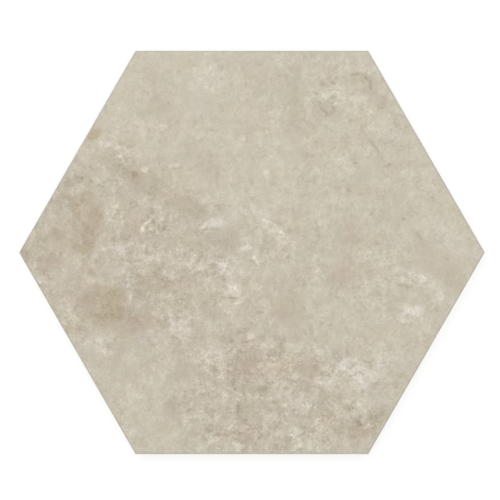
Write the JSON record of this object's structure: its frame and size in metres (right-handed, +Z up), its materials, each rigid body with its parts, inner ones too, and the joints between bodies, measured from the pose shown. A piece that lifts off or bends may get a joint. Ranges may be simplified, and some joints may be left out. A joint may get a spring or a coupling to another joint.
{
  "type": "hexagon floor tile",
  "caption": "Flat hexagonal stone-look porcelain floor tile with ground sides, a fine arris round its face and a honeycomb pressed into its back for bonding.",
  "frame": {"origin": "centre of the plane that the tile's back rests on", "axes": "+Z up out of the face, +X through two opposite corners, +Y through the middle of two opposite sides"},
  "size_m": [0.2886, 0.25, 0.009],
  "materials": {
    "porcelain": "matt beige limestone print on the face, bare fired body on the sides and back"
  },
  "bodies": {
    "root": {"tile": "porcelain"}
  },
  "joints": []
}
